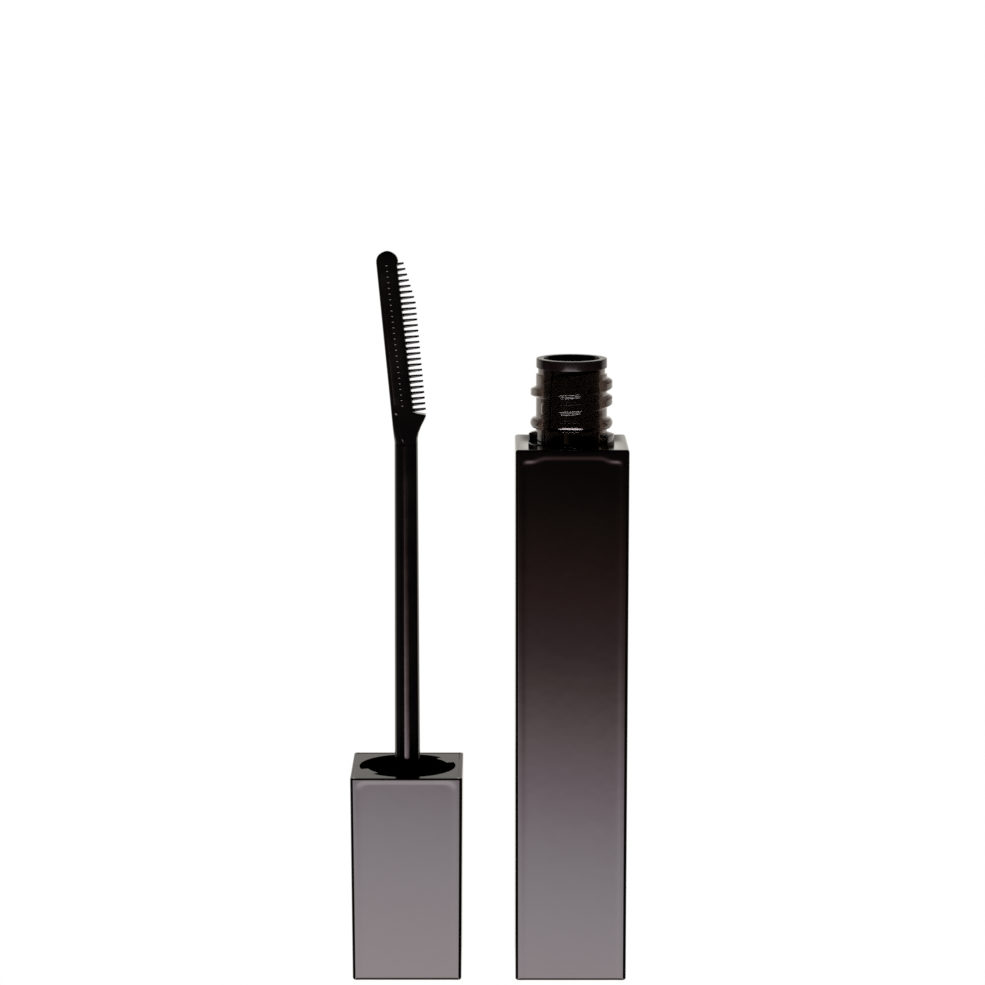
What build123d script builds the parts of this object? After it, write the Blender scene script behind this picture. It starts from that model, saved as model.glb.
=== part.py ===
"""Square mascara tube with a screw cap, standing open: the bottle upright, the cap beside it on its
closed end with the wand and its moulded comb pointing up. Millimetres, +Z up, origin at the middle of
the bottle's flat base."""

from build123d import *
import os
from math import cos, radians, sin

# Driving dimensions
width = 19.0  # across the flats of the tube at the joint between bottle and cap
base_width = 18.84
cap_end_width = 18.54
corner_r = 0.6
top_edge_r = 0.45
bottle_h = 91.45  # base to shoulder
cap_h = 35.4  # closed end to rim
apart = 27.9  # bottle axis to cap axis as the two stand side by side
case_wall = 1.0
case_deck = 1.2
shell_wall = 0.7
shell_end = 1.2

neck_r = 6.0
neck_h = 14.3  # shoulder to the top of the wiper's flange
lip_h = 12.7  # shoulder to the top of the neck itself
neck_bore_r = 4.8
collar_r = 7.25
vial_r = 7.8
vial_bore_r = 6.5
vial_floor = 2.2
vial_bottom = 1.3

pitch = 2.75
thread_r = 6.9
thread_start_deg = -150
thread_start_h = 6.1
thread_turn_deg = 555
bead_r = 6.95
bead_h = 3.4
lug_r = 7.2
lug_h = 1.9
lug_arc_deg = 42
lug_stop_deg = 2

closed_gap = 0.1  # rim to shoulder, cap screwed home
screw_deg = 450
wand_tip_z = 123.8
comb_l = 32.6
rod_r_low = 2.17
rod_r_high = 1.98
socket_r = 2.45

cap_x = -apart
comb_z = wand_tip_z - comb_l
os.makedirs("parts", exist_ok=True)


def save(piece, name):
    """Label a finished piece and write its STEP."""
    piece.part.label = name
    export_step(piece.part, f"parts/{name}.step")


def rest_deg(closed_deg):
    """Where a cap feature at this angle on the closed tube lies on the opened, upturned cap."""
    return 180 - (closed_deg + screw_deg)


def rest_z(above_shoulder):
    """Height on the upturned cap of a level measured above the shoulder of the closed tube."""
    return cap_h - (above_shoulder - closed_gap)


def rounded_prism(low_z, low_w, high_z, high_w, r, x=0, mode=Mode.ADD):
    """A square column with rounded upright edges and a slight draft."""
    with BuildSketch(Plane((x, 0, low_z))) as low:
        RectangleRounded(low_w, low_w, r)
    with BuildSketch(Plane((x, 0, high_z))) as high:
        RectangleRounded(high_w, high_w, r)
    loft([low.sketch, high.sketch], mode=mode)


def arc_block(inner_r, outer_r, from_deg, to_deg, low_z, high_z, x=0, mode=Mode.ADD):
    """A block bent round the axis at x, between two radii, two angles and two heights."""
    with BuildSketch(Plane((x, 0, low_z))) as section:
        with BuildLine():
            for r in (inner_r, outer_r):
                CenterArc((0, 0), r, from_deg, to_deg - from_deg)
            for a in (from_deg, to_deg):
                c, s = cos(radians(a)), sin(radians(a))
                Line((inner_r * c, inner_r * s), (outer_r * c, outer_r * s))
        make_face()
    extrude(section.sketch, amount=high_z - low_z, mode=mode)


def helical_ridge(root_r, crest_r, root_w, crest_w, start_deg, turn_deg, start_z, x=0):
    """A right-hand screw ridge of trapezium section, from its root radius to its crest."""
    rise = pitch * turn_deg / 360
    spiral = Helix(pitch, rise, root_r, center=(0, 0, 0))
    with BuildPart(mode=Mode.PRIVATE) as ridge:
        with BuildSketch(Plane(origin=(root_r, 0, 0), x_dir=(1, 0, 0), z_dir=(0, -1, 0))):
            with BuildLine():
                Polyline(
                    (0, -root_w / 2),
                    (crest_r - root_r, -crest_w / 2),
                    (crest_r - root_r, crest_w / 2),
                    (0, root_w / 2),
                    close=True,
                )
            make_face()
        sweep(path=spiral, is_frenet=True)
    return Pos(x, 0, start_z) * Rot(0, 0, start_deg) * ridge.part


# Bottle case: the drafted square outer tube with its flat shoulder deck, open at the bottom
with BuildPart() as bottle_case:
    rounded_prism(0, base_width, bottle_h, width, corner_r)
    fillet(bottle_case.faces().sort_by(Axis.Z)[-1].edges(), top_edge_r)
    fillet(bottle_case.faces().sort_by(Axis.Z)[0].edges(), 0.4)
    rounded_prism(
        0, base_width - 2 * case_wall, bottle_h - case_deck, width - 2 * case_wall, 0.4,
        mode=Mode.SUBTRACT,
    )
    with BuildSketch(Plane.XY.offset(bottle_h)):
        Circle(collar_r + 0.05)
    extrude(amount=-2 * case_deck, mode=Mode.SUBTRACT)
save(bottle_case, "bottle_case")

# Inner vial: holds the product, with the threaded neck, snap bead and two stop lugs
with BuildPart() as inner_vial:
    with BuildSketch(Plane.XZ):
        with BuildLine():
            Polyline(
                (0, vial_bottom),
                (vial_r, vial_bottom),
                (vial_r, bottle_h - case_deck),
                (collar_r, bottle_h - case_deck),
                (collar_r, bottle_h),
                (neck_r, bottle_h),
                (neck_r, bottle_h + lip_h - 1.0),
                (neck_r - 0.35, bottle_h + lip_h - 1.0),
                (neck_r - 0.35, bottle_h + lip_h),
                (neck_bore_r, bottle_h + lip_h),
                (neck_bore_r, bottle_h - 4.0),
                (vial_bore_r, bottle_h - 6.5),
                (vial_bore_r, vial_floor),
                (0, vial_floor),
                close=True,
            )
        make_face()
    revolve(axis=Axis.Z)
    with BuildSketch(Plane.XZ):
        with BuildLine():
            ThreePointArc(
                (neck_r - 0.1, bottle_h + bead_h - 0.95),
                (bead_r, bottle_h + bead_h),
                (neck_r - 0.1, bottle_h + bead_h + 0.95),
            )
            Line((neck_r - 0.1, bottle_h + bead_h + 0.95), (neck_r - 0.1, bottle_h + bead_h - 0.95))
        make_face()
    revolve(axis=Axis.Z)
    for stop in (lug_stop_deg, lug_stop_deg + 180):
        arc_block(neck_r - 0.2, lug_r, stop - lug_arc_deg, stop, bottle_h - 0.3, bottle_h + lug_h)
    add(
        helical_ridge(
            neck_r - 0.15, thread_r, 2.0, 1.1,
            thread_start_deg, thread_turn_deg, bottle_h + thread_start_h,
        )
    )
save(inner_vial, "inner_vial")

# Wiper: soft plug in the neck, funnel mouth above and a thin lip below that wipes the wand
wiper_top = bottle_h + neck_h
orifice_r = 2.3
flange_r = 5.95
with BuildPart() as wiper:
    with BuildSketch(Plane.XZ):
        with BuildLine():
            Polyline(
                (neck_bore_r - 0.02, bottle_h + lip_h),
                (flange_r, bottle_h + lip_h),
                (flange_r, wiper_top - 0.3),
                (flange_r - 0.25, wiper_top),
                (4.65, wiper_top),
                (4.5, wiper_top - 1.2),
                (4.1, wiper_top - 3.0),
                (4.1, bottle_h + 5.0),
                (orifice_r, bottle_h + 1.5),
                (orifice_r, bottle_h + 0.5),
                (orifice_r + 0.5, bottle_h + 0.5),
                (neck_bore_r - 0.1, bottle_h + 4.0),
                (neck_bore_r - 0.02, bottle_h + 4.4),
                close=True,
            )
        make_face()
    revolve(axis=Axis.Z)
save(wiper, "wiper")

# Base plug: closes the bottom of the case and seats the vial in a ring
plug_w = base_width - 2 * case_wall - 0.04
with BuildPart() as base_plug:
    rounded_prism(0, plug_w, vial_bottom, plug_w, 0.38)
    with BuildSketch(Plane.XY.offset(vial_bottom)):
        RectangleRounded(plug_w, plug_w, 0.38)
        Circle(vial_r + 0.03, mode=Mode.SUBTRACT)
    extrude(amount=3.0)
    with BuildSketch():
        Circle(6.0)
    extrude(amount=0.1, mode=Mode.SUBTRACT)
save(base_plug, "base_plug")

# Base label: plain round sticker lying flush in the plug's shallow recess
with BuildPart() as base_label:
    with BuildSketch():
        Circle(5.95)
    extrude(amount=0.1)
save(base_label, "base_label")

# Cap shell: drafted square cup, upturned, with a shallow recess in its closed end
inlay_r = 7.2
inlay_depth = 0.5
shell_inner_low = cap_end_width - 2 * shell_wall
shell_inner_high = width - 2 * shell_wall
with BuildPart() as cap_shell:
    rounded_prism(0, cap_end_width, cap_h, width, corner_r, x=cap_x)
    fillet(cap_shell.faces().sort_by(Axis.Z)[-1].edges(), 0.2)
    fillet(cap_shell.faces().sort_by(Axis.Z)[0].edges(), 0.4)
    rounded_prism(shell_end, shell_inner_low, cap_h, shell_inner_high, 0.35, x=cap_x, mode=Mode.SUBTRACT)
    with BuildSketch(Plane((cap_x, 0, 0))):
        Circle(inlay_r + 0.05)
    extrude(amount=inlay_depth, mode=Mode.SUBTRACT)
save(cap_shell, "cap_shell")

# Cap end plate: thin round inlay in the closed end, a hair below its edge
with BuildPart() as cap_end_plate:
    with BuildSketch(Plane((cap_x, 0, 0.06))):
        Circle(inlay_r)
    extrude(amount=inlay_depth - 0.1)
save(cap_end_plate, "cap_end_plate")

# Cap liner: square flange in the mouth, counterbore, female thread, washer seat and rod socket
counterbore_r = 8.25
counterbore_h = 4.5
thread_bore_r = 7.05
washer_face_h = neck_h + 0.05
washer_t = 1.0
liner_floor_z = rest_z(washer_face_h) - washer_t
flange_w = width - 2 * shell_wall - 0.06
liner_r = 8.65
boss_r = 4.6
boss_z = 10.0
socket_z = 11.2
female_lead_deg = 105
cap_lug_deg = 44
cap_lug_arc_deg = 28
cap_lug_r = 7.02  # clears the neck's bead and thread, snaps past its lugs
with BuildPart() as cap_liner:
    rounded_prism(cap_h - 1.6, flange_w, cap_h - 0.05, flange_w, 0.33, x=cap_x)
    with BuildSketch(Plane((cap_x, 0, cap_h - 1.6))):
        Circle(liner_r)
    extrude(amount=-(cap_h - 1.6 - liner_floor_z + 1.4))
    with BuildSketch(Plane((cap_x, 0, liner_floor_z))):
        Circle(boss_r)
    extrude(amount=boss_z - liner_floor_z)
    with BuildSketch(Plane((cap_x, 0, cap_h))):
        Circle(counterbore_r)
    extrude(amount=-counterbore_h, mode=Mode.SUBTRACT)
    with BuildSketch(Plane((cap_x, 0, cap_h))):
        Circle(thread_bore_r)
    extrude(amount=liner_floor_z - cap_h, mode=Mode.SUBTRACT)
    with BuildSketch(Plane((cap_x, 0, liner_floor_z))):
        Circle(socket_r)
    extrude(amount=socket_z - liner_floor_z, mode=Mode.SUBTRACT)
    for lug in (cap_lug_deg, cap_lug_deg + 180):
        arc_block(
            cap_lug_r, counterbore_r + 0.1, rest_deg(lug + cap_lug_arc_deg), rest_deg(lug),
            rest_z(1.3), cap_h - 0.05, x=cap_x,
        )
    female_end_h = thread_start_h + pitch * ((female_lead_deg + 360) / 360 - 0.5)
    add(
        helical_ridge(
            thread_bore_r + 0.15, neck_r + 0.3, 1.15, 0.55,
            rest_deg(thread_start_deg + female_lead_deg + 360), 360, rest_z(female_end_h), x=cap_x,
        )
    )
save(cap_liner, "cap_liner")

# Seal washer: soft ring on the liner's floor that closes on the neck's rim
with BuildPart() as seal_washer:
    with BuildSketch(Plane((cap_x, 0, liner_floor_z))):
        Circle(neck_r)
        Circle(rod_r_low + 0.12, mode=Mode.SUBTRACT)
    extrude(amount=washer_t)
save(seal_washer, "seal_washer")

# Wand rod: slightly tapered round stem, stepped head in the liner's socket, hole for the comb
stem_r = 1.1
stem_l = 5.0
with BuildPart() as wand_rod:
    with BuildSketch(Plane.XZ):
        with BuildLine():
            Polyline(
                (0, socket_z + 0.05),
                (socket_r - 0.03, socket_z + 0.05),
                (socket_r - 0.03, liner_floor_z - 0.1),
                (rod_r_low, liner_floor_z - 0.1),
                (rod_r_low, cap_h),
                (rod_r_high, comb_z),
                (stem_r + 0.03, comb_z),
                (stem_r + 0.03, comb_z - stem_l - 0.1),
                (0, comb_z - stem_l - 0.1),
                close=True,
            )
        make_face()
    revolve(axis=Axis.Z)
wand_rod.part.position = (cap_x, 0, 0)
save(wand_rod, "wand_rod")

# Comb applicator: leaning spine with one side of thin tapered teeth in two rows, on a round stem
teeth = 27
spine_t = 2.9
tooth_t = 0.4
tooth_row = 0.5  # each row's distance from the middle plane
tooth_foot = Vector(1.3, 0, 5.65)
tooth_top = Vector(-1.35, 0, 30.25)
tip_low = Vector(3.33, 0, 5.95)
tip_knee = Vector(1.68, 0, 24.05)
tip_top = Vector(-0.3, 0, 30.55)
with BuildPart() as comb_applicator:
    with BuildSketch(Plane((0, -spine_t / 2, comb_z), x_dir=(1, 0, 0), z_dir=(0, -1, 0))):
        with BuildLine():
            Polyline(
                (-1.98, 0), (-4.92, 31.0), (-4.6, 31.9), (-3.9, 32.4), (-3.1, comb_l), (-2.3, 32.4),
                (-1.45, 31.8), (-1.15, 31.0), (tooth_top.X, tooth_top.Z), (1.4, 5.25), (3.38, 4.9),
                (2.8, 3.0), (1.98, 0.9), (1.98, 0), close=True,
            )
        make_face()
    extrude(amount=-spine_t)
    with BuildSketch(Plane.XY.offset(comb_z - stem_l)):
        Circle(stem_r)
    extrude(amount=stem_l + 0.5)
    for i in range(teeth):
        t = i / (teeth - 1)
        root = tooth_foot + (tooth_top - tooth_foot) * t
        knee_t = (tip_knee.Z - tip_low.Z) / (tip_top.Z - tip_low.Z)
        if t < knee_t:
            tip = tip_low + (tip_knee - tip_low) * (t / knee_t)
        else:
            tip = tip_knee + (tip_top - tip_knee) * ((t - knee_t) / (1 - knee_t))
        for y in (-tooth_row, tooth_row):
            start = Vector(root.X - 0.3, y, root.Z + comb_z)
            end = Vector(tip.X, y, tip.Z + comb_z)
            along = (end - start).normalized()
            with BuildSketch(Plane(start, x_dir=(0, 1, 0), z_dir=along)):
                Rectangle(tooth_t * 1.5, tooth_t)
            with BuildSketch(Plane(end, x_dir=(0, 1, 0), z_dir=along)):
                Rectangle(tooth_t * 0.7, tooth_t * 0.5)
            loft()
comb_applicator.part.position = (cap_x, 0, 0)
save(comb_applicator, "comb_applicator")

# Cap weight: round steel slug below the liner's boss, free to slide as far as the screw advances
weight_r = 7.4
weight_t = 4.9
with BuildPart() as cap_weight:
    with BuildSketch(Plane((cap_x, 0, boss_z - 0.15))):
        Circle(weight_r)
    extrude(amount=-weight_t)
    chamfer(cap_weight.edges().filter_by(GeomType.CIRCLE), 0.4)
save(cap_weight, "cap_weight")
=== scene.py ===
from math import atan2, cos, hypot, pi, radians, sin, sqrt

import bpy
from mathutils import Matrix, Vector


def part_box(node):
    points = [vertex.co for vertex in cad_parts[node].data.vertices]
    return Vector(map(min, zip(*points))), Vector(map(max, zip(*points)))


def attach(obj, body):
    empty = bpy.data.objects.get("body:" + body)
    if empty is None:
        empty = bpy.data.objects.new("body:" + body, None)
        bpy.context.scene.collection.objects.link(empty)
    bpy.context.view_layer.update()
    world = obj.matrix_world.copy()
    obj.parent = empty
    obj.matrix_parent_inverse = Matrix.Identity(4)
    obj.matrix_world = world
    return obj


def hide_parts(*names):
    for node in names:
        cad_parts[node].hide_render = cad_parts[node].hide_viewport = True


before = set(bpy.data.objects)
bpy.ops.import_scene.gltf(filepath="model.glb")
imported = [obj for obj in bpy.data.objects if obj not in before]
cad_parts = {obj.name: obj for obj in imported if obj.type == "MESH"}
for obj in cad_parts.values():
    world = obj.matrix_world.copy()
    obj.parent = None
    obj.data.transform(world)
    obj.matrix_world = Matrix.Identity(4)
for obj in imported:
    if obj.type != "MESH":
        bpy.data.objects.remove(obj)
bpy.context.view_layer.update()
MM = 0.001


# The studio: a seamless white sweep. A low white card in front is what the glossy faces mirror, so
# they run from grey at the foot to black at the top; the sides are dark, the wall behind is bright.
def srgb(code, alpha=1.0):
    """A hex sRGB colour as the linear values that a socket takes."""
    parts = [int(code[i : i + 2], 16) / 255 for i in (1, 3, 5)]
    linear = [((v + 0.055) / 1.055) ** 2.4 if v > 0.04045 else v / 12.92 for v in parts]
    return (*linear, alpha)


def add(tree, kind, inputs=None, **settings):
    """Add a node; an input is a value, an output socket, or a node for its first output."""
    made = tree.nodes.new(kind)
    for name, value in settings.items():
        setattr(made, name, value)
    for key, value in (inputs or {}).items():
        if isinstance(value, bpy.types.Node):
            value = value.outputs[0]
        if isinstance(value, bpy.types.NodeSocket):
            tree.links.new(value, made.inputs[key])
        else:
            made.inputs[key].default_value = value
    return made


def set_ramp(ramp, stops):
    """Give a colour ramp these (position, linear colour) stops."""
    elements = ramp.color_ramp.elements
    while len(elements) > 1:
        elements.remove(elements[-1])
    elements[0].position, elements[0].color = stops[0]
    for place, colour in stops[1:]:
        elements.new(place).color = colour


def new_material(name):
    """A new material, and its node tree, which is empty."""
    made = bpy.data.materials.new(name)
    made.use_nodes = True
    made.node_tree.nodes.clear()
    return made, made.node_tree


def new_object(name, data):
    """A new object that is linked to the scene."""
    made = bpy.data.objects.new(name, data)
    bpy.context.scene.collection.objects.link(made)
    return made


# angles are in degrees: azimuth from straight ahead to the right, elevation from level up
card_level, card_azimuth, card_half, edge_soft = 7.8, -3.0, 21.0, 3.0
card_low, card_high = -24.0, -8.0
card_slope = 0.075  # how its far edge rises to the left
near_part = 0.56  # the card's near part, seen steeply, is this much narrower per degree of width
near_narrow, near_wide = -34.0, -20.0
near_gain, near_gain_low = 1.5, -36.0  # it is also nearer, so it glows more
near_edge_low, near_edge_high = -50.0, -42.0
side_azimuth, side_half, side_level, side_low = 90.0, 20.0, 0.008, -30.0
wall_azimuth, wall_half, wall_soft = 180.0, 62.0, 8.0
wall_low, wall_high, wall_dim = -90.0, 40.0, 0.62
wall_colour = (0.87, 0.825, 0.765)

world = bpy.data.worlds.new("white studio")
bpy.context.scene.world = world
world.use_nodes = True
sky = world.node_tree
sky.nodes.clear()
axis = add(sky, "ShaderNodeSeparateXYZ", {0: add(sky, "ShaderNodeTexCoord").outputs["Generated"]})
elevation = add(sky, "ShaderNodeMath", {0: axis.outputs["Z"]}, operation="ARCSINE")
to_front = add(sky, "ShaderNodeMath", {0: axis.outputs["Y"], 1: -1.0}, operation="MULTIPLY")
azimuth = add(sky, "ShaderNodeMath", {0: axis.outputs["X"], 1: to_front}, operation="ARCTAN2")
off_front = add(sky, "ShaderNodeMath", {0: azimuth}, operation="ABSOLUTE")


def window(angle, centre, half, soft, narrow=1.0):
    """1 within half of centre, in degrees, falling smoothly to 0 over soft."""
    past = add(sky, "ShaderNodeMath", {0: angle, 1: radians(centre)}, operation="SUBTRACT")
    away = add(sky, "ShaderNodeMath", {0: past}, operation="ABSOLUTE")
    narrowed = add(sky, "ShaderNodeMath", {0: away, 1: narrow}, operation="MULTIPLY")
    fall = {"Value": narrowed, 1: radians(half - soft), 2: radians(half + soft), 3: 1.0, 4: 0.0}
    return add(sky, "ShaderNodeMapRange", fall, interpolation_type="SMOOTHSTEP")


def graded(angle, low, high, stops):
    """A colour ramp over an angle in degrees, from (angle, red, green, blue) stops."""
    share = add(sky, "ShaderNodeMapRange", {"Value": angle, 1: radians(low), 2: radians(high)})
    ramp = add(sky, "ShaderNodeValToRGB", {0: share})
    set_ramp(ramp, [((place - low) / (high - low), (r, g, b, 1.0)) for place, r, g, b in stops])
    return ramp


# the card dims towards its far edge, and its dim part is warmer
tilt = add(sky, "ShaderNodeMath", {0: azimuth, 1: card_slope}, operation="MULTIPLY")
sloped = add(sky, "ShaderNodeMath", {0: elevation, 1: tilt}, operation="ADD")
card = graded(sloped, card_low, card_high, [
    (-24.0, 1.0, 0.875, 0.91),
    (-18.2, 0.99, 0.87, 0.90),
    (-17.4, 0.935, 0.82, 0.86),
    (-16.6, 0.865, 0.765, 0.825),
    (-15.8, 0.765, 0.676, 0.722),
    (-15.0, 0.635, 0.548, 0.601),
    (-14.2, 0.488, 0.38, 0.43),
    (-13.3, 0.32, 0.24, 0.247),
    (-12.5, 0.175, 0.117, 0.117),
    (-11.9, 0.105, 0.063, 0.069),
    (-11.0, 0.062, 0.033, 0.03),
    (-10.1, 0.024, 0.013, 0.01),
    (-9.0, 0.002, 0.002, 0.001),
    (-8.0, 0.0, 0.0, 0.0),
])
steep = add(sky, "ShaderNodeMapRange", {
    "Value": elevation, 1: radians(near_narrow), 2: radians(near_wide), 3: near_part, 4: 1.0})
near_glow = add(sky, "ShaderNodeMapRange", {
    "Value": elevation, 1: radians(near_gain_low), 2: radians(card_low), 3: near_gain, 4: 1.0})
near_edge = add(sky, "ShaderNodeMapRange", {
    "Value": elevation, 1: radians(near_edge_low), 2: radians(near_edge_high), 3: 0.0, 4: 1.0})
card_across = window(azimuth, card_azimuth, card_half, edge_soft, steep)
card_glow = add(sky, "ShaderNodeMath", {0: card_across, 1: near_glow}, operation="MULTIPLY")
front_card = add(sky, "ShaderNodeMath", {0: card_glow, 1: near_edge}, operation="MULTIPLY")
# two faint cards, one at each side
side_across = window(off_front, side_azimuth, side_half, edge_soft)
side_glow = add(sky, "ShaderNodeMath", {0: side_across, 1: side_level}, operation="MULTIPLY")
side_edge = add(sky, "ShaderNodeMapRange", {
    "Value": elevation, 1: radians(side_low), 2: radians(card_low), 3: 0.0, 4: 1.0})
side_cards = add(sky, "ShaderNodeMath", {0: side_glow, 1: side_edge}, operation="MULTIPLY")
cards = add(sky, "ShaderNodeMath", {0: front_card, 1: side_cards}, operation="MAXIMUM")
card_strength = add(sky, "ShaderNodeMath", {0: cards, 1: card_level}, operation="MULTIPLY")
card_light = add(sky, "ShaderNodeVectorMath", {0: card, "Scale": card_strength}, operation="SCALE")
# the wall behind is bright up to a little above level
back_wall = graded(elevation, wall_low, wall_high, [
    (wall_low, *wall_colour),
    (8.5, *wall_colour),
    (14.0, *(wall_dim * v for v in wall_colour)),
    (32.0, 0.0, 0.0, 0.0),
])
wall_across = window(off_front, wall_azimuth, wall_half, wall_soft)
wall_light = add(sky, "ShaderNodeVectorMath", {0: back_wall, "Scale": wall_across}, operation="SCALE")
both_lights = add(sky, "ShaderNodeVectorMath", {0: card_light, 1: wall_light}, operation="MAXIMUM")
mirrored = add(sky, "ShaderNodeBackground", {"Color": both_lights})
white = add(sky, "ShaderNodeBackground", {"Color": (1, 1, 1, 1), "Strength": 1.0})
camera_ray = add(sky, "ShaderNodeLightPath").outputs["Is Camera Ray"]
mixed = add(sky, "ShaderNodeMixShader", {0: camera_ray, 1: mirrored, 2: white})
add(sky, "ShaderNodeOutputWorld", {0: mixed})
bpy.context.scene.view_settings.view_transform = "Standard"


def paper_sheet(name, xs, ys, z, finish, colour):
    """A flat rectangle of paper, in metres, that shows one linear colour whatever lights it."""
    paper, nodes = new_material(finish)
    glow = add(nodes, "ShaderNodeEmission", {"Color": (*colour, 1), "Strength": 1.0})
    add(nodes, "ShaderNodeOutputMaterial", {0: glow})
    corners = [(xs[0], ys[0], z), (xs[1], ys[0], z), (xs[1], ys[1], z), (xs[0], ys[1], z)]
    mesh = bpy.data.meshes.new(name)
    mesh.from_pydata(corners, [], [(0, 1, 2, 3)])
    mesh.materials.append(paper)
    made = new_object(name, mesh)
    made.visible_diffuse = False
    made.visible_shadow = False
    return made


floor_span, floor_z, shadow_z = (-4.0, 4.0), -2e-5, -1e-5
lit_paper = "white seamless paper, lit from above"
floor = paper_sheet("white_floor", floor_span, floor_span, floor_z, lit_paper, (1, 1, 1))
floor.visible_glossy = False

# along each foot the paper lies in shadow, which the lowest edge of the gloss mirrors as a dark line
shadow_spread, shadow_short, shadow_colour = 1.0 * MM, 0.6 * MM, (0.9, 0.68, 0.58)
for name, foot in (("bottle", "bottle_case"), ("cap", "cap_shell")):
    foot_low, foot_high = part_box(foot)
    xs = (foot_low.x + shadow_short, foot_high.x - shadow_short)
    ys = (foot_low.y - shadow_spread, foot_low.y + shadow_spread)
    shaded_paper = "paper in the shadow of the " + name
    strip = paper_sheet("foot_shadow_" + name, xs, ys, shadow_z, shaded_paper, shadow_colour)
    strip.visible_camera = False
    strip.visible_transmission = False

camera = new_object("camera", bpy.data.cameras.new("camera"))
bpy.context.scene.camera = camera
camera.data.sensor_width = 36.0
camera.data.lens = 122.44
camera.data.clip_start = 0.02
camera.data.clip_end = 20.0
camera_back, camera_high, camera_side, camera_down = 560 * MM, 173.63 * MM, -13.32 * MM, 9.211
camera.location = (camera_side, -camera_back, camera_high)
camera.rotation_euler = (radians(90 - camera_down), 0, 0)


# Bottle case: the square outer tube, moulded in black plastic and sprayed with a high-gloss lacquer
# that stands up slightly along the edges. It stands on its open lower end.
def smooth_mesh(name, points, faces, sharp=40):
    """A mesh object from points in millimetres, shaded smooth except at sharp edges."""
    mesh = bpy.data.meshes.new(name)
    mesh.from_pydata([(x * MM, y * MM, z * MM) for x, y, z in points], [], faces)
    mesh.validate()
    mesh.shade_smooth()
    mesh.set_sharp_from_angle(angle=radians(sharp))
    return new_object(name, mesh)


def skin(rings, closed=False):
    """Quads between rings of equal length, listed from outside bottom to top for outward faces.

    A closed skin joins its last ring to its first; an open one has its two ends filled.
    """
    points = [p for ring in rings for p in ring]
    count, last = len(rings[0]), len(rings) - 1
    faces = []
    for i in range(last + 1 if closed else last):
        a, b = i * count, (i + 1) % len(rings) * count
        for j in range(count):
            k = (j + 1) % count
            faces.append((a + j, a + k, b + k, b + j))
    if not closed:
        faces.append(tuple(range(count - 1, -1, -1)))
        faces.append(tuple(last * count + j for j in range(count)))
    return points, faces


def rise(low_edge, high_edge, value):
    """A smooth step from 0 at the low edge to 1 at the high one."""
    t = min(max((value - low_edge) / (high_edge - low_edge), 0), 1)
    return t * t * (3 - 2 * t)


def square_ring(z, half, corner, x=0.0, build=None, side_steps=36, corner_steps=8):
    """A rounded square at height z; build(distance from the upright edge) moves it outwards."""
    ring = []
    straight = half - corner
    for side in range(4):
        c, s = cos(side * pi / 2), sin(side * pi / 2)
        for i in range(side_steps):
            along = straight * sin(pi / 2 * (2 * i / side_steps - 1))
            out = half + (build(straight - abs(along)) if build else 0)
            ring.append((x + out * c - along * s, out * s + along * c, z))
        for i in range(corner_steps):
            turn = side * pi / 2 + pi / 2 * i / corner_steps
            r = corner + (build(0) if build else 0)
            ring.append((
                x + straight * (c - s) + r * cos(turn),
                straight * (s + c) + r * sin(turn),
                z,
            ))
    return ring


def round_ring(z, r, like, x=0.0):
    """A circle whose points face those of the square ring like."""
    angles = [atan2(p[1], p[0] - x) for p in like]
    return [(x + r * cos(a), r * sin(a), z) for a in angles]


droop_from, droop_full = 4.2, 2.2  # distances from the upright edge
swell, swell_from, swell_full = 0.9, 5.0, 1.0


def lacquer_build(from_top, height, start, end, corner=0.9, side=1.0, droop=0.0):
    """The dip of the lacquer inside its raised edge, at a distance below the top edge."""
    def build(from_side):
        inside = end + corner
        top = from_top - droop * rise(droop_from, droop_full, from_side)
        near = inside - hypot(max(inside - top, 0), max(inside - from_side * side, 0))
        return -height * (1 + swell * rise(swell_from, swell_full, from_side)) * rise(start, end, near)

    return build


def case_build(from_top):
    return lacquer_build(from_top, height=0.016, start=0.9, end=1.8, corner=0.4, side=1.8, droop=0.65)


case_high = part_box("bottle_case")[1]
case_h = case_high.z / MM
case_top_half, case_base_half = case_high.x / MM, 18.84 / 2
upright_r, top_r, foot_r, inner_r = 0.6, 0.45, 0.4, 0.4
wall, deck, deck_hole, deck_border = 1.0, 1.2, 7.3, 0.12
hole_bevel, hole_bevel_h, foot_bevel, foot_bevel_h = 0.15, 0.08, 0.1, 0.16
edge_steps, edge_follow = 6, 0.8  # a corner's radius shrinks by this share of the inset


def case_half(z):
    """Half the width of the drafted tube at height z."""
    return case_base_half + (case_top_half - case_base_half) * z / case_h


def foot_edge(half_at, x, build):
    """Rings that round the foot, from the face it stands on up to its side."""
    for step in range(edge_steps + 1):
        turn = pi / 2 * step / edge_steps
        z, inset = foot_r * (1 - cos(turn)), foot_r * (1 - sin(turn))
        yield square_ring(z, half_at(z) - inset, upright_r - inset * edge_follow, x, build)


def top_edge(top, r, half_at, x, build, follow=edge_follow):
    """Rings that round a top edge, from the side in to the top face."""
    for step in range(edge_steps + 1):
        turn = pi / 2 * step / edge_steps
        z, inset = top - r * (1 - sin(turn)), r * (1 - cos(turn))
        yield square_ring(z, half_at(z) - inset, upright_r - inset * follow, x, build)


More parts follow.
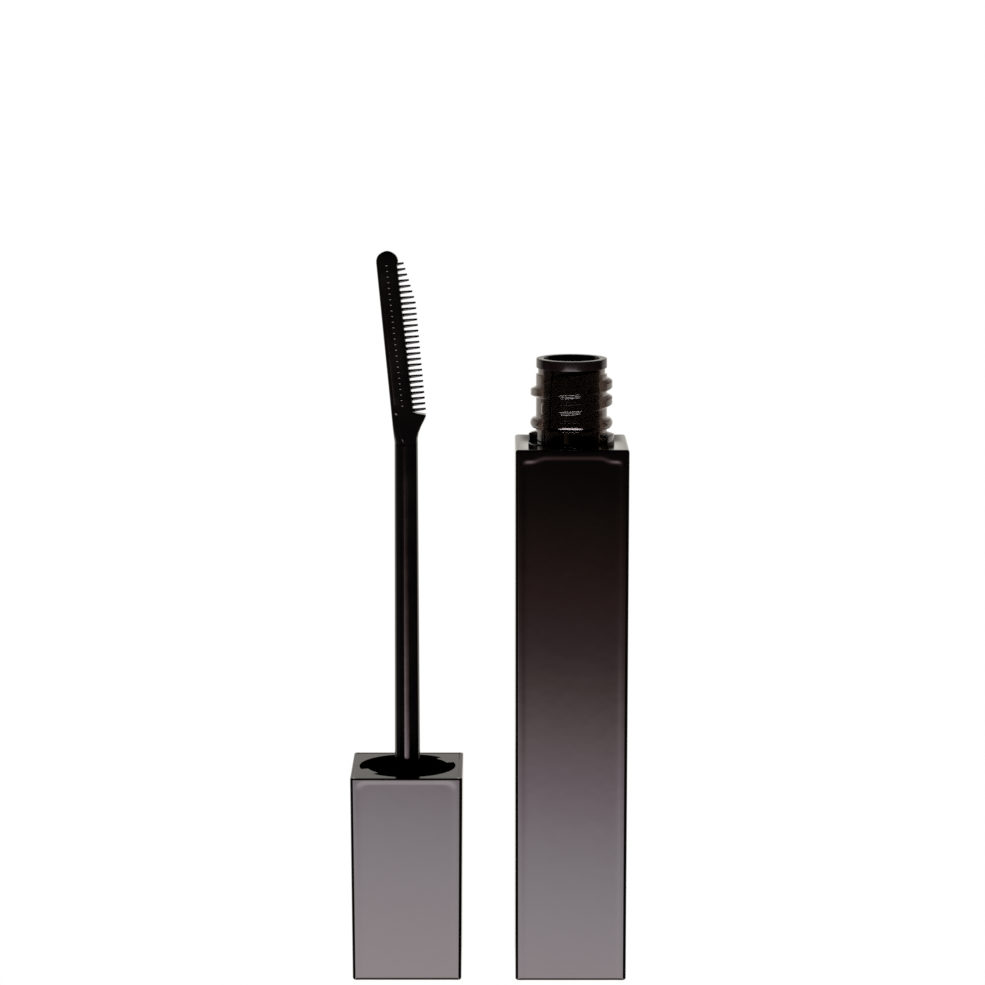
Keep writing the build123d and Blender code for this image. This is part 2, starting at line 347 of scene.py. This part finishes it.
case_rings = list(foot_edge(case_half, 0.0, case_build(case_h)))
below_top = [case_h - foot_r - 0.15, 60, 30, 12, 7, 5, 4.2, 3.6, 3.1, 2.7, 2.4]
below_top += [2.25 - 0.12 * i for i in range(14)]  # close together where the lacquer dips
for below in below_top:
    z = case_h - below
    case_rings.append(square_ring(z, case_half(z), upright_r, build=case_build(below)))
case_rings += top_edge(case_h, top_r, case_half, 0.0, case_build(top_r))
top_face = case_rings[-1]
case_rings += [
    square_ring(case_h, case_top_half - top_r - deck_border, upright_r - top_r),
    round_ring(case_h, deck_hole + hole_bevel, top_face),
    round_ring(case_h - hole_bevel_h, deck_hole, top_face),
    round_ring(case_h - deck, deck_hole, top_face),
    square_ring(case_h - deck, case_top_half - wall, inner_r),
    square_ring(foot_bevel_h, case_base_half - wall, inner_r),
    square_ring(0, case_base_half - wall + foot_bevel, inner_r),
]
bottle_case = smooth_mesh("bottle_case_lacquered", *skin(case_rings, closed=True))

# a sprayed lacquer mirrors its surroundings almost sharply, over a black that has hardly any colour
lacquer, tree = new_material("black high-gloss lacquer over moulded plastic")
place = add(tree, "ShaderNodeTexCoord").outputs["Object"]
# orange peel: sprayed lacquer dries with waves 2 to 3 mm across, a few microns deep
peel_size = 2.381
peel = add(tree, "ShaderNodeTexNoise", {"Vector": place, "Scale": 1 / (peel_size * MM), "Detail": 1.0})
peel_bump = add(tree, "ShaderNodeBump", {"Height": peel, "Strength": 0.02, "Distance": 0.1 * MM})
# handling leaves faint clouds of slightly duller gloss, a few centimetres across
cloud_size = 22.22
haze = add(tree, "ShaderNodeTexNoise", {"Vector": place, "Scale": 1 / (cloud_size * MM), "Detail": 3.0})
gloss = add(tree, "ShaderNodeMapRange", {"Value": haze, 1: 0.3, 2: 0.7, 3: 0.03, 4: 0.05})
tone = add(tree, "ShaderNodeValToRGB", {0: haze})
set_ramp(tone, [(0.3, srgb("#050404")), (0.7, srgb("#080706"))])
lacquer_shader = add(tree, "ShaderNodeBsdfPrincipled", {
    "Base Color": tone,
    "Roughness": gloss,
    "IOR": 1.45,
    "Normal": peel_bump,
})
add(tree, "ShaderNodeOutputMaterial", {0: lacquer_shader})
bottle_case.data.materials.append(lacquer)
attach(bottle_case, "bottle")
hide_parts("bottle_case")


# Inner vial: one blow-moulded bottle of smoky dark plastic. Its neck carries a right-hand thread, a
# snap bead and two stop lugs, all with soft moulded edges; its collar lies flush in the case's deck.
neck_r, collar_r, lip_r, lip_h = 6.0, 7.25, 5.65, 12.7
lip_step_low, lip_step_high = 11.58, 11.76
thread_pitch, thread_depth, thread_start_h = 2.75, 0.9, 6.1
thread_start, thread_turn = -150.0, 555.0
thread_crest, thread_foot, thread_run_out = 0.46, 1.1, 14.0
bead_h, bead_half, bead_depth, bead_foot = 3.4, 0.98, 0.95, 0.75
lug_depth, lug_h, lug_arc, lug_stop = 1.2, 1.9, 42.0, 2.0
lug_end, lug_round_low, lug_round_high = 3.0, 0.45, 0.05
columns, rows = 216, 190


def neck_radius(angle, h):
    """Outer radius of the neck at an angle in degrees and a height above the shoulder."""
    body = neck_r - (neck_r - lip_r) * rise(lip_step_low, lip_step_high, h)
    t = abs(h - bead_h) / bead_half
    tallest = bead_depth * sqrt(1 - t * t) * rise(1.0, bead_foot, t) if t < 1 else 0
    for turn in (-360, 0, 360):
        along = (angle - thread_start) % 360 + turn + 360
        if 0 < along < thread_turn:
            off = abs(h - thread_start_h - thread_pitch * along / 360)
            ends = rise(0, thread_run_out, along) * rise(0, thread_run_out, thread_turn - along)
            tallest = max(tallest, thread_depth * ends * (1 - rise(thread_crest, thread_foot, off)))
    from_stop = (lug_stop - angle) % 180
    if from_stop < lug_arc:
        ends = rise(0, lug_end, from_stop) * rise(0, lug_end, lug_arc - from_stop)
        top = 1 - rise(lug_h - lug_round_low, lug_h + lug_round_high, h)
        tallest = max(tallest, lug_depth * ends * top)
    return body + tallest


def neck_normal(angle, h):
    """The neck's outward direction, from the slope of its radius round and up."""
    turn, lift = 0.3, 0.015
    r = neck_radius(angle, h)
    up = (neck_radius(angle, h + lift) - neck_radius(angle, h - lift)) / (2 * lift)
    round_it = (neck_radius(angle + turn, h) - neck_radius(angle - turn, h)) / (2 * radians(turn) * r)
    size = sqrt(1 + round_it ** 2 + up ** 2)
    c, s = cos(radians(angle)), sin(radians(angle))
    return (c + round_it * s) / size, (s - round_it * c) / size, -up / size


def turned_ring(z, r, count, x=0.0):
    """A circle of count points round an upright axis."""
    return [(x + r * cos(2 * pi * j / count), r * sin(2 * pi * j / count), z) for j in range(count)]


vial_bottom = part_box("inner_vial")[0].z / MM
vial_r, vial_bore, vial_floor, neck_bore = 7.8, 6.5, 2.2, 4.8
bore_end_h, cone_end_h = -4.0, -6.5  # where the neck's bore widens to the vial's
vial_foot_r, floor_r, mouth_bevel, collar_bevel, collar_play = 0.5, 0.4, 0.1, 0.06, 0.02
pole_r = 0.02  # a turned shape's middle is a tiny circle, which one face closes
below_neck = [
    (vial_bottom, pole_r),
    (vial_bottom, vial_r - vial_foot_r),
    (vial_bottom + 0.3 * vial_foot_r, vial_r - 0.3 * vial_foot_r),
    (vial_bottom + vial_foot_r, vial_r),
    (case_h - deck - collar_play, vial_r),
    (case_h - deck - collar_play, collar_r),
    (case_h - collar_bevel, collar_r),
    (case_h, collar_r - collar_bevel),
]
inside_vial = [
    (case_h + lip_h, neck_bore + mouth_bevel),
    (case_h + lip_h - mouth_bevel, neck_bore),
    (case_h + bore_end_h, neck_bore),
    (case_h + cone_end_h, vial_bore),
    (vial_floor + floor_r, vial_bore),
    (vial_floor, vial_bore - floor_r),
    (vial_floor, pole_r),
]
vial_rings = [turned_ring(z, r, columns) for z, r in below_neck]
for i in range(rows + 1):
    h = lip_h * i / rows
    ring = []
    for j in range(columns):
        angle = 360 * j / columns
        r = neck_radius(angle, h)
        ring.append((r * cos(radians(angle)), r * sin(radians(angle)), case_h + h))
    vial_rings.append(ring)
vial_rings += [turned_ring(z, r, columns) for z, r in inside_vial]
inner_vial = smooth_mesh("inner_vial_smoky", *skin(vial_rings), sharp=50)
# the thread crosses the rows of the mesh at a slant, so its shading follows the true surface
normals = [(0, 0, 0)] * (len(vial_rings) * columns)
for i in range(1, rows):
    for j in range(columns):
        spot = (len(below_neck) + i) * columns + j
        normals[spot] = neck_normal(360 * j / columns, lip_h * i / rows)
inner_vial.data.normals_split_custom_set_from_vertices(normals)

# light comes warm and dim through the plastic, and its polished skin has a hard bright gloss
smoky, tree = new_material("smoky dark translucent plastic, moulded")
place = add(tree, "ShaderNodeTexCoord").outputs["Object"]
flow_size = 6.25
flow = add(tree, "ShaderNodeTexNoise", {"Vector": place, "Scale": 1 / (flow_size * MM), "Detail": 2.0})
tint = add(tree, "ShaderNodeValToRGB", {0: flow})
set_ramp(tint, [(0.35, srgb("#41342d")), (0.65, srgb("#483b33"))])
# the stop lugs are solid and thick, so less light comes through them than through the wall
across = add(tree, "ShaderNodeVectorMath", {0: place, 1: (1, 1, 0)}, operation="MULTIPLY")
from_axis = add(tree, "ShaderNodeVectorMath", {0: across}, operation="LENGTH").outputs["Value"]
height = add(tree, "ShaderNodeSeparateXYZ", {0: place}).outputs["Z"]
outside = add(tree, "ShaderNodeMapRange", {
    "Value": from_axis, 1: (neck_r + 0.15) * MM, 2: (neck_r + 0.45) * MM})
lug_top = case_h + lug_h
below = add(tree, "ShaderNodeMapRange", {
    "Value": height, 1: (lug_top + 0.1) * MM, 2: (lug_top + 0.3) * MM, 3: 1.0, 4: 0.0})
in_lug = add(tree, "ShaderNodeMath", {0: outside, 1: below}, operation="MULTIPLY")
thick = add(tree, "ShaderNodeMix", {0: in_lug, 6: tint, 7: srgb("#0d0b0a")}, data_type="RGBA")
smoky_shader = add(tree, "ShaderNodeBsdfPrincipled", {
    "Base Color": thick.outputs[2],
    "Roughness": 0.04,
    "IOR": 1.04,
    "Transmission Weight": 1.0,
    "Coat Weight": 1.0,
    "Coat Roughness": 0.03,
    "Coat IOR": 1.6,
})
add(tree, "ShaderNodeOutputMaterial", {0: smoky_shader})
inner_vial.data.materials.append(smoky)
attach(inner_vial, "bottle")
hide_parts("inner_vial")


# Wiper: a soft black plug pushed into the neck. Its flange caps the neck, its mouth is a funnel, and
# the thin lip at the bottom wipes the rod and comb.
def turned_profile(name, profile, count=128, x=0.0, sharp=40):
    """A closed solid turned from (radius, height) points that run up the outside and down the inside."""
    rings = [turned_ring(z, r, count, x) for r, z in profile]
    return smooth_mesh(name, *skin(rings, closed=True), sharp=sharp)


def rounded(corners, r, steps=4):
    """A closed profile with each corner cut to a small arc-like curve."""
    out = []
    for i, corner in enumerate(corners):
        before, after = corners[i - 1], corners[(i + 1) % len(corners)]
        ends = []
        for other in (before, after):
            gap = hypot(other[0] - corner[0], other[1] - corner[1])
            t = min(r / gap, 0.45)
            ends.append([corner[k] + (other[k] - corner[k]) * t for k in (0, 1)])
        for step in range(steps + 1):
            t = step / steps
            out.append(tuple(
                (1 - t) ** 2 * ends[0][k] + 2 * t * (1 - t) * corner[k] + t * t * ends[1][k]
                for k in (0, 1)
            ))
    return out


wiper_low, wiper_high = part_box("wiper")
wiper_top, wiper_foot = wiper_high.z / MM, wiper_low.z / MM
flange_r, mouth_r, throat_r, plug_r, funnel_r, orifice_r = 5.95, 4.72, 4.55, 4.78, 4.1, 2.3
wiper = turned_profile("wiper_soft_plug", rounded([
    (orifice_r + 0.5, wiper_foot),
    (plug_r - 0.08, wiper_foot + 3.5),
    (plug_r, wiper_foot + 3.9),
    (plug_r, case_h + lip_h),
    (flange_r, case_h + lip_h),
    (flange_r, wiper_top),
    (mouth_r, wiper_top),
    (throat_r, wiper_top - 1.2),
    (funnel_r, wiper_top - 3.0),
    (funnel_r, case_h + 5.0),
    (orifice_r, wiper_foot + 1.0),
    (orifice_r, wiper_foot),
], r=0.15))
# a fine-textured mould leaves a satin sheen, which blurs what it mirrors
elastomer, tree = new_material("black elastomer, moulded, satin")
place = add(tree, "ShaderNodeTexCoord").outputs["Object"]
grain_size = 1.111  # coarser than the real texture, so that it shows
grain = add(tree, "ShaderNodeTexNoise", {"Vector": place, "Scale": 1 / (grain_size * MM), "Detail": 2.0})
grain_bump = add(tree, "ShaderNodeBump", {"Height": grain, "Strength": 0.06, "Distance": 0.05 * MM})
soft_black = add(tree, "ShaderNodeValToRGB", {0: grain})
set_ramp(soft_black, [(0.3, srgb("#0e0a09")), (0.7, srgb("#140e0d"))])
elastomer_shader = add(tree, "ShaderNodeBsdfPrincipled", {
    "Base Color": soft_black,
    "Roughness": 0.2,
    "IOR": 1.38,
    "Normal": grain_bump,
})
add(tree, "ShaderNodeOutputMaterial", {0: elastomer_shader})
wiper.data.materials.append(elastomer)
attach(wiper, "bottle")
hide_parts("wiper")


# Base plug: moulded in black plastic and snapped into the case's open foot, where it seats the vial.
# It is kept as the CAD solid, and the same polished black serves the liner, the rod and the comb.
black, tree = new_material("black moulded plastic, polished")
place = add(tree, "ShaderNodeTexCoord").outputs["Object"]
# flow marks of the moulding: broad and so shallow that only a mirrored edge wavers
mark_size = 4.0
marks = add(tree, "ShaderNodeTexNoise", {"Vector": place, "Scale": 1 / (mark_size * MM), "Detail": 2.0})
marks_bump = add(tree, "ShaderNodeBump", {"Height": marks, "Strength": 0.05, "Distance": 0.1 * MM})
deep_black = add(tree, "ShaderNodeValToRGB", {0: marks})
set_ramp(deep_black, [(0.3, srgb("#070606")), (0.7, srgb("#0b0a09"))])
polish = add(tree, "ShaderNodeMapRange", {"Value": marks, 1: 0.3, 2: 0.7, 3: 0.06, 4: 0.1})
black_shader = add(tree, "ShaderNodeBsdfPrincipled", {
    "Base Color": deep_black,
    "Roughness": polish,
    "IOR": 1.52,
    "Normal": marks_bump,
})
add(tree, "ShaderNodeOutputMaterial", {0: black_shader})


def dress(node, material):
    """Give a CAD node that stays as it is a finished material."""
    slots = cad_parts[node].data.materials
    slots.clear()
    slots.append(material)


dress("base_plug", black)

# Base label: a plain round sticker of silver-grey film, with no print. It is stuck in the shallow
# round recess under the plug, and metal flakes in the film give it a dull, finely flecked sheen.
film, tree = new_material("silver-grey label film")
place = add(tree, "ShaderNodeTexCoord").outputs["Object"]
fleck_size = 0.4
fleck = add(tree, "ShaderNodeTexNoise", {"Vector": place, "Scale": 1 / (fleck_size * MM), "Detail": 2.0})
fleck_tone = add(tree, "ShaderNodeValToRGB", {0: fleck})
set_ramp(fleck_tone, [(0.35, srgb("#8d8b88")), (0.65, srgb("#a19f9b"))])
film_shader = add(tree, "ShaderNodeBsdfPrincipled", {
    "Base Color": fleck_tone,
    "Roughness": 0.38,
    "Metallic": 0.35,
})
add(tree, "ShaderNodeOutputMaterial", {0: film_shader})
dress("base_label", film)

# Cap shell: the square cup of the cap, moulded in the same black plastic as the case, with a thinner
# wall, and sprayed with the same lacquer. A round recess in its closed end takes the end plate.
cap_low, cap_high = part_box("cap_shell")
cap_x, cap_h = (cap_low.x + cap_high.x) / 2 / MM, cap_high.z / MM
cap_mouth_half, cap_end_half = (cap_high.x - cap_low.x) / 2 / MM, 18.54 / 2
shell_wall, shell_end, rim_r, shell_inner_r = 0.7, 1.2, 0.2, 0.35
inlay_r, inlay_depth, chamfer, middle_r = 7.25, 0.5, 0.06, 0.3


def shell_half(z):
    """Half the width of the drafted cap at height z above its closed end."""
    return cap_end_half + (cap_mouth_half - cap_end_half) * z / cap_h


def cap_build(from_top):
    return lacquer_build(from_top, height=0.015, start=0.3, end=1.1)


foot_face = square_ring(0, cap_end_half - foot_r, upright_r - foot_r, cap_x)
recess = [(inlay_depth, middle_r), (inlay_depth, inlay_r), (chamfer, inlay_r), (0, inlay_r + chamfer)]
shell_rings = [round_ring(z, r, foot_face, cap_x) for z, r in recess]
shell_rings += foot_edge(shell_half, cap_x, cap_build(cap_h))
below_mouth = [cap_h - foot_r - 0.15, 25, 12, 7, 5, 4.2, 3.6, 3.1, 2.7, 2.3, 2.0, 1.7]
below_mouth += [1.4 - 0.1 * i for i in range(12)]
for depth in below_mouth:
    z = cap_h - depth
    shell_rings.append(square_ring(z, shell_half(z), upright_r, cap_x, cap_build(depth)))
shell_rings += top_edge(cap_h, rim_r, shell_half, cap_x, cap_build(rim_r), follow=1.0)
mouth_half = cap_mouth_half - shell_wall
shell_rings += [
    square_ring(cap_h, mouth_half + chamfer, shell_inner_r, cap_x),
    square_ring(cap_h - chamfer, mouth_half, shell_inner_r, cap_x),
    square_ring(shell_end, cap_end_half - shell_wall, shell_inner_r, cap_x),
    square_ring(shell_end, middle_r, 0.1, cap_x),
]
cap_shell = smooth_mesh("cap_shell_lacquered", *skin(shell_rings))
cap_shell.data.materials.append(lacquer)
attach(cap_shell, "cap")
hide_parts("cap_shell")

# Cap end plate: a thin round inlay glued into the closed end, lacquered like the shell. It is part
# of the cap at every pose, though its CAD solid serves as the body that turns over.
plate_r, plate_low, plate_high = 7.2, 0.06, 0.46
plate_edge = [
    (plate_low, middle_r),
    (plate_low, plate_r - 0.1),
    (plate_low + 0.03, plate_r - 0.03),
    (plate_low + 0.1, plate_r),
    (plate_high, plate_r),
    (plate_high, middle_r),
]
plate_rings = [round_ring(z, r, foot_face, cap_x) for z, r in plate_edge]
end_plate = smooth_mesh("cap_end_plate_inlay", *skin(plate_rings))
end_plate.data.materials.append(lacquer)
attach(end_plate, "cap")
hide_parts("cap_end_plate")

# Cap liner: pressed into the shell, with the square flange that shows at the mouth and the female
# thread inside. Black moulded plastic, kept as the CAD solid.
dress("cap_liner", black)

# Seal washer: a ring die-cut from a sheet of polyethylene foam. It lies at the bottom of the liner
# and closes on the neck's rim; its fine cells make it pale and dull.
foam, tree = new_material("pale polyethylene foam disc")
place = add(tree, "ShaderNodeTexCoord").outputs["Object"]
cell_size = 0.25
cells = add(tree, "ShaderNodeTexVoronoi", {"Vector": place, "Scale": 1 / (cell_size * MM)})
cell_bump = add(tree, "ShaderNodeBump", {"Height": cells, "Strength": 0.2, "Distance": 0.1 * MM})
foam_shader = add(tree, "ShaderNodeBsdfPrincipled", {
    "Base Color": srgb("#dedcd8"),
    "Roughness": 0.6,
    "Normal": cell_bump,
})
add(tree, "ShaderNodeOutputMaterial", {0: foam_shader})
dress("seal_washer", foam)

# Cap weight: a steel slug turned on a lathe, which leaves fine marks that catch the light. It is shut
# in between the liner and the closed end, and gives the cap its heft.
steel, tree = new_material("turned steel")
place = add(tree, "ShaderNodeTexCoord").outputs["Object"]
ring_gap = 0.349
ring_scale = 2 * pi / 20 / (ring_gap * MM)  # a wave turns through 20 radians per unit of scale
ring_marks = add(tree, "ShaderNodeTexWave", {"Vector": place, "Scale": ring_scale, "Distortion": 0.5},
                 wave_type="RINGS", rings_direction="Z").outputs["Fac"]
turned_tone = add(tree, "ShaderNodeValToRGB", {0: ring_marks})
set_ramp(turned_tone, [(0.2, srgb("#a3a3a5")), (0.8, srgb("#b9b9bb"))])
steel_shader = add(tree, "ShaderNodeBsdfPrincipled", {
    "Base Color": turned_tone,
    "Metallic": 1.0,
    "Roughness": 0.3,
})
add(tree, "ShaderNodeOutputMaterial", {0: steel_shader})
dress("cap_weight", steel)

# Wand rod: a round moulded stem that tapers slightly from the cap to the comb, with a stepped head
# in the liner's socket and a hole for the comb's pin.
rod_low, rod_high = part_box("wand_rod")
rod_top, rod_foot = rod_high.z / MM, rod_low.z / MM
head_r, rod_r_low, rod_r_high, pin_hole_r, pin_deep = 2.42, 2.17, 1.98, 1.13, 5.1
head_top = cap_h - 15.25 - 0.1  # just under the liner's boss
taper_end = 0.5  # the last stretch is straight, and keeps the shading of the long side even
rod = turned_profile("wand_rod_black", rounded([
    (pole_r, rod_foot),
    (head_r, rod_foot),
    (head_r, head_top),
    (rod_r_low, head_top),
    (rod_r_low, cap_h),
    (rod_r_high, rod_top - taper_end),
    (rod_r_high, rod_top),
    (pin_hole_r, rod_top),
    (pin_hole_r, rod_top - pin_deep),
    (pole_r, rod_top - pin_deep),
], r=0.15), count=96, x=cap_x)
rod.data.materials.append(black)
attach(rod, "advanced")
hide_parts("wand_rod")

# Comb applicator: one moulding with a leaning spine, a heel at its foot and two rows of fine tapered
# teeth on one side. Its round pin is pressed into the end of the rod.
comb_l = 32.6
comb_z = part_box("comb_applicator")[1].z / MM - comb_l
# (height, place) points of its outline from the front, and of half its thickness
back_line = [
    (0.0, -1.98), (0.4, -2.0), (1.5, -2.13), (30.6, -4.9), (31.1, -4.9),
    (31.6, -4.75), (32.0, -4.45), (32.35, -3.95), (32.55, -3.45), (32.6, -3.1),
]
front_line = [
    (0.0, 1.98), (0.9, 1.98), (1.9, 2.15), (3.1, 2.6), (4.1, 3.1), (4.75, 3.38),
    (5.0, 3.36), (5.1, 2.9), (5.25, 1.9), (5.4, 1.3), (30.2, -1.35), (31.0, -1.2),
    (31.5, -1.35), (31.9, -1.6), (32.2, -1.95), (32.45, -2.4), (32.6, -2.9),
]
half_line = [
    (0.0, 1.98), (1.0, 1.94), (2.5, 1.8), (4.5, 1.58), (6.5, 1.45),
    (29.0, 1.35), (31.0, 1.2), (31.9, 0.9), (32.4, 0.5), (32.6, 0.1),
]
flat_power, flat_from = 3.5, 4.0
pin_r, pin_length, around = 1.1, 5.0, 40
station_gap = 0.25  # the outline's own points are stations as well


def along_line(line, s):
    """The value of a line of (height, value) points at height s."""
    for (a, p), (b, q) in zip(line, line[1:]):
        if s <= b:
            return p + (q - p) * (s - a) / (b - a)
    return line[-1][1]


stations = {s for s, _ in back_line + front_line + half_line}
stations |= {i * station_gap for i in range(int(comb_l / station_gap))}
pin = [(-pin_length, pole_r), (-pin_length, pin_r), (0.0, pin_r)]
spine_rings = [turned_ring(comb_z + s, r, around, cap_x) for s, r in pin]
for s in sorted(stations):
    back_x, front_x, half = (along_line(line, s) for line in (back_line, front_line, half_line))
    power = 2 + flat_power * rise(0.0, flat_from, s)  # round at the joint, flatter sides along the spine
    mid, reach = (back_x + front_x) / 2, (front_x - back_x) / 2
    ring = []
    for j in range(around):
        c, d = cos(2 * pi * j / around), sin(2 * pi * j / around)
        size = (abs(c) ** power + abs(d) ** power) ** (-1 / power)
        ring.append((cap_x + mid + reach * size * c, half * size * d, comb_z + s))
    spine_rings.append(ring)
spine = smooth_mesh("comb_spine", *skin(spine_rings), sharp=45)
spine.data.materials.append(black)
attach(spine, "cap")
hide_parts("comb_applicator")

# Comb teeth: 27 pairs of thin pointed teeth in two rows, moulded in one with the spine. They stand
# out of its front face, tilted towards the tip, and the front row's feet end in small pips.
tooth_pairs, tooth_r, row_gap = 27, 0.28, 0.7
root_low, root_high = (1.0, 5.66), (-1.65, 30.28)
tip_line = [(3.33, 5.95), (1.68, 24.05), (-0.3, 30.55)]
pip_back, pip_out, pip_size = 1.5, 1.42, (0.28, 0.07, 0.14)
teeth_tree = bpy.data.node_groups.new("two rows of comb teeth", "GeometryNodeTree")
teeth_tree.interface.new_socket("Geometry", in_out="OUTPUT", socket_type="NodeSocketGeometry")
count_in = teeth_tree.interface.new_socket("Pairs", in_out="INPUT", socket_type="NodeSocketInt")
radius_in = teeth_tree.interface.new_socket("Tooth radius", in_out="INPUT", socket_type="NodeSocketFloat")
gap_in = teeth_tree.interface.new_socket("Row gap", in_out="INPUT", socket_type="NodeSocketFloat")
given = add(teeth_tree, "NodeGroupInput").outputs


def comb_point(place):
    """A point of the comb from its (across, along) place in millimetres."""
    return ((cap_x + place[0]) * MM, 0.0, (comb_z + place[1]) * MM)


root_line = add(teeth_tree, "GeometryNodeCurvePrimitiveLine", {
    "Start": comb_point(root_low), "End": comb_point(root_high)})
root_points = add(teeth_tree, "GeometryNodeCurveToPoints", {
    "Curve": root_line, "Count": given["Pairs"]}).outputs["Points"]
root_at = add(teeth_tree, "GeometryNodeInputPosition")
rank = add(teeth_tree, "GeometryNodeInputIndex")
gaps = add(teeth_tree, "ShaderNodeMath", {0: given["Pairs"], 1: 1.0}, operation="SUBTRACT")
share = add(teeth_tree, "ShaderNodeMath", {0: rank, 1: gaps}, operation="DIVIDE")

# the tips lie on two straight lines that meet at the knee
tip_low, tip_knee, tip_high = (comb_point(place) for place in tip_line)
knee = (tip_line[1][1] - tip_line[0][1]) / (tip_line[2][1] - tip_line[0][1])
first_run = add(teeth_tree, "ShaderNodeMapRange", {
    "Vector": share, 7: (0.0,) * 3, 8: (knee,) * 3, 9: tip_low, 10: tip_knee}, data_type="FLOAT_VECTOR")
second_run = add(teeth_tree, "ShaderNodeMapRange", {
    "Vector": share, 7: (knee,) * 3, 8: (1.0,) * 3, 9: tip_knee, 10: tip_high}, data_type="FLOAT_VECTOR")
past_knee = add(teeth_tree, "FunctionNodeCompare", {0: share, 1: knee}, data_type="FLOAT",
                operation="GREATER_THAN")
tip_at = add(teeth_tree, "GeometryNodeSwitch", {
    "Switch": past_knee,
    "False": first_run.outputs["Vector"],
    "True": second_run.outputs["Vector"],
}, input_type="VECTOR")
reach_out = add(teeth_tree, "ShaderNodeVectorMath", {0: tip_at, 1: root_at}, operation="SUBTRACT")
length = add(teeth_tree, "ShaderNodeVectorMath", {0: reach_out}, operation="LENGTH").outputs["Value"]
turn_to = add(teeth_tree, "FunctionNodeAlignRotationToVector", {"Vector": reach_out}, axis="Z")
tooth = add(teeth_tree, "GeometryNodeMeshCone", {
    "Vertices": 8, "Side Segments": 3, "Radius Top": 0.45, "Radius Bottom": 1.0, "Depth": 1.0})
tooth_size = add(teeth_tree, "ShaderNodeCombineXYZ", {
    "X": given["Tooth radius"], "Y": given["Tooth radius"], "Z": length})
tooth_row = add(teeth_tree, "GeometryNodeInstanceOnPoints", {
    "Points": root_points, "Instance": tooth, "Rotation": turn_to, "Scale": tooth_size})
half_gap = add(teeth_tree, "ShaderNodeMath", {0: given["Row gap"], 1: 0.5}, operation="MULTIPLY")
joined = add(teeth_tree, "GeometryNodeJoinGeometry")
for side in (-1.0, 1.0):
    shift = add(teeth_tree, "ShaderNodeMath", {0: half_gap, 1: side}, operation="MULTIPLY")
    aside = add(teeth_tree, "ShaderNodeCombineXYZ", {"Y": shift})
    moved = add(teeth_tree, "GeometryNodeTransform", {"Geometry": tooth_row, "Translation": aside})
    teeth_tree.links.new(moved.outputs[0], joined.inputs[0])
# the ends of the front row's feet show as small pips on the spine's face
pip = add(teeth_tree, "GeometryNodeMeshUVSphere", {"Segments": 10, "Rings": 6, "Radius": 1.0})
pips = add(teeth_tree, "GeometryNodeInstanceOnPoints", {
    "Points": root_points, "Instance": pip, "Scale": tuple(v * MM for v in pip_size)})
pips_moved = add(teeth_tree, "GeometryNodeTransform", {
    "Geometry": pips, "Translation": (-pip_back * MM, -pip_out * MM, 0)})
teeth_tree.links.new(pips_moved.outputs[0], joined.inputs[0])
real = add(teeth_tree, "GeometryNodeRealizeInstances", {0: joined})
smoothed = add(teeth_tree, "GeometryNodeSetShadeSmooth", {0: real})
finished = add(teeth_tree, "GeometryNodeSetMaterial", {"Geometry": smoothed, "Material": black})
add(teeth_tree, "NodeGroupOutput", {0: finished})
holder = new_object("tooth maker", bpy.data.meshes.new("tooth maker"))
maker = holder.modifiers.new("teeth", "NODES")
maker.node_group = teeth_tree
maker[count_in.identifier] = tooth_pairs
maker[radius_in.identifier] = tooth_r * MM
maker[gap_in.identifier] = row_gap * MM
seen_by = bpy.context.evaluated_depsgraph_get()
teeth_mesh = bpy.data.meshes.new_from_object(holder.evaluated_get(seen_by))
bpy.data.objects.remove(holder)
teeth = new_object("comb_teeth", teeth_mesh)
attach(teeth, "cap")
